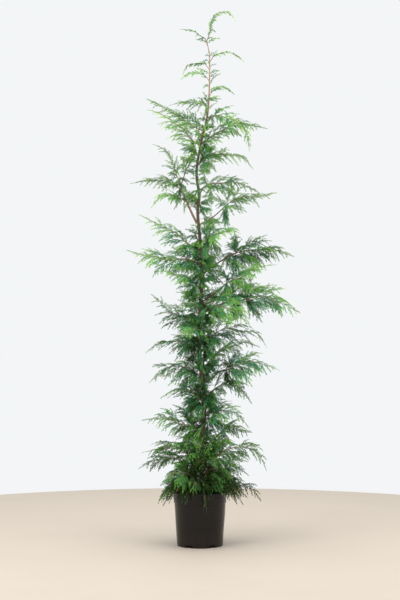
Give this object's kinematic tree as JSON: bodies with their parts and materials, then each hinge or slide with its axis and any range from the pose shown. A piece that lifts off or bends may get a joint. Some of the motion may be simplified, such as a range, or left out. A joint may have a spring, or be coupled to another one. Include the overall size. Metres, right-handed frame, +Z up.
{
  "type": "potted leyland cypress",
  "caption": "Slender young leyland cypress in a round nursery pot, with feathery plumes of foliage that droop at their tips from one tall trunk.",
  "frame": {"origin": "middle of the flat underside of the pot, on the surface that it stands on", "axes": "+Z up along the trunk, +X to the side where the crown reaches furthest, -Y to the front, which is the side seen in the picture"},
  "size_m": [0.9049, 0.8113, 2.7854],
  "materials": {
    "pot": "black moulded plastic, dull with a slight sheen",
    "soil": "dark moist potting soil of bark and peat",
    "bark": "smooth to finely cracked grey-brown bark",
    "foliage": "fine scale leaves in flat sprays, yellow-green where lit and blue-green in the shade"
  },
  "bodies": {
    "root": {"bough_lower_right_3": "bark", "bough_middle_front_3": "bark", "bough_middle_right_1": "bark", "bough_middle_right_2": "bark", "bough_middle_right_4": "bark", "bough_second_stem": "bark", "foliage_back_1": "foliage", "foliage_back_2": "foliage", "foliage_back_3": "foliage", "foliage_back_4": "foliage", "foliage_back_5": "foliage", "foliage_front_1": "foliage", "foliage_low_front_1": "foliage", "foliage_low_front_2": "foliage", "foliage_low_left_1": "foliage", "foliage_low_left_2": "foliage", "foliage_low_left_3": "foliage", "foliage_low_left_4": "foliage", "foliage_low_right_1": "foliage", "foliage_low_right_2": "foliage", "foliage_low_right_3": "foliage", "foliage_lower_front_1": "foliage", "foliage_lower_front_2": "foliage", "foliage_lower_left_1": "foliage", "foliage_lower_left_2": "foliage", "foliage_lower_right_1": "foliage", "foliage_lower_right_2": "foliage", "foliage_lower_right_3": "foliage", "foliage_lower_right_4": "foliage", "foliage_middle_front_1": "foliage", "foliage_middle_front_2": "foliage", "foliage_middle_front_3": "foliage", "foliage_middle_left_1": "foliage", "foliage_middle_left_2": "foliage", "foliage_middle_left_3": "foliage", "foliage_middle_left_4": "foliage", "foliage_middle_right_1": "foliage", "foliage_middle_right_2": "foliage", "foliage_middle_right_3": "foliage", "foliage_middle_right_4": "foliage", "foliage_top": "foliage", "foliage_top_left_1": "foliage", "foliage_top_left_2": "foliage", "foliage_top_left_3": "foliage", "foliage_top_left_sprig": "foliage", "foliage_top_right_1": "foliage", "foliage_top_right_2": "foliage", "foliage_top_right_droop": "foliage", "foliage_upper_front": "foliage", "foliage_upper_left_1": "foliage", "foliage_upper_left_2": "foliage", "foliage_upper_left_3": "foliage", "foliage_upper_left_4": "foliage", "foliage_upper_left_5": "foliage", "foliage_upper_right_1": "foliage", "foliage_upper_right_2": "foliage", "foliage_upper_right_3": "foliage", "pot": "pot", "soil": "soil", "trunk": "bark"}
  },
  "joints": []
}
